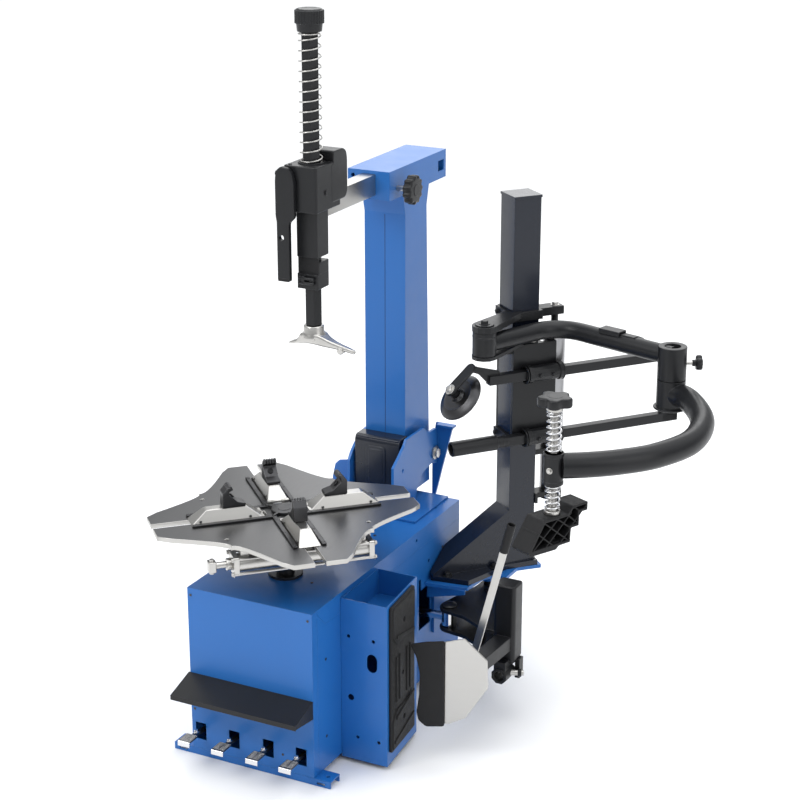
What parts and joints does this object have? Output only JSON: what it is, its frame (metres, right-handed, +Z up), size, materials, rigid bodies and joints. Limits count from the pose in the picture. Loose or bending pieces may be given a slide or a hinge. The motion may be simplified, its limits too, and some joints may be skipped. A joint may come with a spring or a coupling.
{
  "type": "tire changer machine",
  "caption": "Tire changer with clamping turntable, tilting column with spring-loaded mounting shaft, side bead breaker, foot pedals and a helper tower with swinging press arm.",
  "frame": {"origin": "on the floor, at the middle of the plan's bounding box", "axes": "+Z up, +X to the operator's right towards the helper tower, +Y from the pedals towards the column"},
  "size_m": [1.3206, 1.3265, 1.925],
  "materials": {
    "blue_paint": "gloss",
    "black_paint": "satin",
    "black_rubber": "matte",
    "bright_steel": "brushed",
    "chrome_steel": "polished",
    "table_steel": "brushed",
    "dark_steel": "satin"
  },
  "bodies": {
    "base": {"front_foot": "blue_paint", "rear_foot": "blue_paint", "cabinet_shell": "blue_paint", "front_panel": "blue_paint", "top_panel": "blue_paint", "bumper_box": "blue_paint", "bumper_pad": "black_rubber", "pedal_guard": "black_paint", "pedal_shaft": "bright_steel", "gear_motor": "dark_steel", "breaker_cylinder": "dark_steel", "column_bracket": "blue_paint", "tilt_pin": "bright_steel", "tower_bracket": "blue_paint", "tower": "black_paint", "lift_cylinder": "chrome_steel"},
    "turntable": {"turntable_plate": "table_steel", "turntable_shaft": "dark_steel", "clamp_cylinder_a": "bright_steel", "clamp_cylinder_b": "bright_steel", "hub_cover": "dark_steel"},
    "column": {"column": "blue_paint", "column_cover": "black_paint"},
    "arm": {"horizontal_arm": "bright_steel", "head_housing": "black_paint"},
    "arm_lock_knob": {"arm_lock_knob": "black_paint"},
    "lock_handle": {"lock_handle": "black_paint"},
    "mounting_shaft": {"hex_shaft": "dark_steel", "shaft_cap": "black_paint", "shaft_spring": "bright_steel", "mount_head": "bright_steel"},
    "carriage": {"carriage": "black_paint"},
    "swing_arm": {"swing_arm": "black_paint"},
    "press_arm": {"press_arm": "black_paint"},
    "elbow_knob": {"elbow_knob": "black_paint"},
    "press_screw": {"press_screw": "bright_steel", "upper_press_spring": "chrome_steel", "lower_press_spring": "chrome_steel", "press_block": "black_rubber"},
    "screw_knob": {"screw_knob": "black_paint"},
    "slide_frame": {"slide_frame": "black_paint"},
    "bead_disc": {"bead_disc": "dark_steel"},
    "breaker_rod": {"breaker_rod": "chrome_steel"},
    "breaker_arm": {"breaker_arm": "black_paint", "breaker_blade": "bright_steel", "blade_cover": "black_paint", "blade_handle": "bright_steel", "blade_grip": "black_paint"},
    "pedal_1": {"pedal_1": "bright_steel"},
    "jaw_1": {"jaw_slide_1": "bright_steel", "jaw_grip_1": "dark_steel"},
    "pedal_2": {"pedal_2": "bright_steel"},
    "jaw_2": {"jaw_slide_2": "bright_steel", "jaw_grip_2": "dark_steel"},
    "pedal_3": {"pedal_3": "bright_steel"},
    "jaw_3": {"jaw_slide_3": "bright_steel", "jaw_grip_3": "dark_steel"},
    "pedal_4": {"pedal_4": "bright_steel"},
    "jaw_4": {"jaw_slide_4": "bright_steel", "jaw_grip_4": "dark_steel"}
  },
  "joints": [
    {"name": "turntable_spin", "type": "hinge", "parent": "base", "child": "turntable", "pos_m": [-0.3591, -0.36442, 0.654], "axis": [0, 0, 1], "continuous": true},
    {"name": "jaw_1_slide", "type": "slide", "parent": "turntable", "child": "jaw_1", "axis": [0.7071, 0.7071, 0], "range_m": [-0.02, 0.09]},
    {"name": "jaw_2_slide", "type": "slide", "parent": "turntable", "child": "jaw_2", "axis": [-0.7071, 0.7071, 0], "range_m": [-0.02, 0.09]},
    {"name": "jaw_3_slide", "type": "slide", "parent": "turntable", "child": "jaw_3", "axis": [-0.7071, -0.7071, 0], "range_m": [-0.02, 0.09]},
    {"name": "jaw_4_slide", "type": "slide", "parent": "turntable", "child": "jaw_4", "axis": [0.7071, -0.7071, 0], "range_m": [-0.02, 0.09]},
    {"name": "column_tilt", "type": "hinge", "parent": "base", "child": "column", "pos_m": [-0.3591, 0.34658, 0.597], "axis": [-1, 0, 0], "range_deg": [0, 25]},
    {"name": "arm_slide", "type": "slide", "parent": "column", "child": "arm", "axis": [0, -1, 0], "range_m": [-0.15, 0.1]},
    {"name": "arm_lock_turn", "type": "hinge", "parent": "column", "child": "arm_lock_knob", "pos_m": [-0.2591, 0.15658, 1.411], "axis": [1, 0, 0], "continuous": true},
    {"name": "lock_handle_tilt", "type": "hinge", "parent": "arm", "child": "lock_handle", "pos_m": [-0.4016, -0.26042, 1.533], "axis": [-1, 0, 0], "range_deg": [0, 20]},
    {"name": "shaft_slide", "type": "slide", "parent": "arm", "child": "mounting_shaft", "axis": [0, 0, 1], "range_m": [-0.24, 0], "stiffness_N_per_m": 700, "springref_m": 0.25, "deforming": ["shaft_spring"]},
    {"name": "pedal_1_press", "type": "hinge", "parent": "base", "child": "pedal_1", "pos_m": [-0.5161, -0.45442, 0.062], "axis": [1, 0, 0], "range_deg": [0, 10], "stiffness_Nm_per_rad": 6, "springref_deg": -8.59},
    {"name": "pedal_2_press", "type": "hinge", "parent": "base", "child": "pedal_2", "pos_m": [-0.4141, -0.45442, 0.062], "axis": [1, 0, 0], "range_deg": [0, 10], "stiffness_Nm_per_rad": 6, "springref_deg": -8.59},
    {"name": "pedal_3_press", "type": "hinge", "parent": "base", "child": "pedal_3", "pos_m": [-0.3111, -0.45442, 0.062], "axis": [1, 0, 0], "range_deg": [0, 10], "stiffness_Nm_per_rad": 6, "springref_deg": -8.59},
    {"name": "pedal_4_press", "type": "hinge", "parent": "base", "child": "pedal_4", "pos_m": [-0.2131, -0.45442, 0.062], "axis": [1, 0, 0], "range_deg": [-8, 10], "stiffness_Nm_per_rad": 6, "springref_deg": -4.01},
    {"name": "carriage_lift", "type": "slide", "parent": "base", "child": "carriage", "axis": [0, 0, -1], "range_m": [-0.28, 0]},
    {"name": "swing_arm_turn", "type": "hinge", "parent": "carriage", "child": "swing_arm", "pos_m": [-0.0261, 0.13558, 1.019], "axis": [0, 0, 1], "range_deg": [-35, 0]},
    {"name": "press_arm_turn", "type": "hinge", "parent": "swing_arm", "child": "press_arm", "pos_m": [0.4569, 0.26258, 0.957], "axis": [0, 0, 1], "range_deg": [-35, 60]},
    {"name": "elbow_knob_turn", "type": "hinge", "parent": "swing_arm", "child": "elbow_knob", "pos_m": [0.4569, 0.26258, 1], "axis": [0.8908, 0.4543, 0], "continuous": true},
    {"name": "press_slide", "type": "slide", "parent": "press_arm", "child": "press_screw", "axis": [0, 0, 1], "range_m": [-0.02, 0.03], "deforming": ["upper_press_spring", "lower_press_spring"]},
    {"name": "screw_knob_turn", "type": "hinge", "parent": "press_screw", "child": "screw_knob", "pos_m": [0.3919, -0.37942, 1.083], "axis": [0, 0, 1], "continuous": true},
    {"name": "slide_frame_travel", "type": "slide", "parent": "carriage", "child": "slide_frame", "axis": [0.6293, 0.7771, 0], "range_m": [-0.1, 0.055]},
    {"name": "bead_disc_spin", "type": "hinge", "parent": "slide_frame", "child": "bead_disc", "pos_m": [-0.0941, 0.11758, 0.868], "axis": [-0.3795, -0.6492, 0.6592], "continuous": true},
    {"name": "breaker_swing", "type": "hinge", "parent": "base", "child": "breaker_arm", "pos_m": [-0.0681, 0.27758, 0.22], "axis": [0, 0, 1], "range_deg": [0, 20]},
    {"name": "breaker_rod_travel", "type": "slide", "parent": "base", "child": "breaker_rod", "axis": [1, 0, 0], "range_m": [-0.01, 0.075]}
  ],
  "couplings": [
    {"joint": "jaw_2_slide", "follows": "jaw_1_slide", "ratio": 1},
    {"joint": "jaw_3_slide", "follows": "jaw_1_slide", "ratio": 1},
    {"joint": "jaw_4_slide", "follows": "jaw_1_slide", "ratio": 1},
    {"joint": "breaker_rod_travel", "follows": "breaker_swing", "m_per_rad": 0.189}
  ]
}
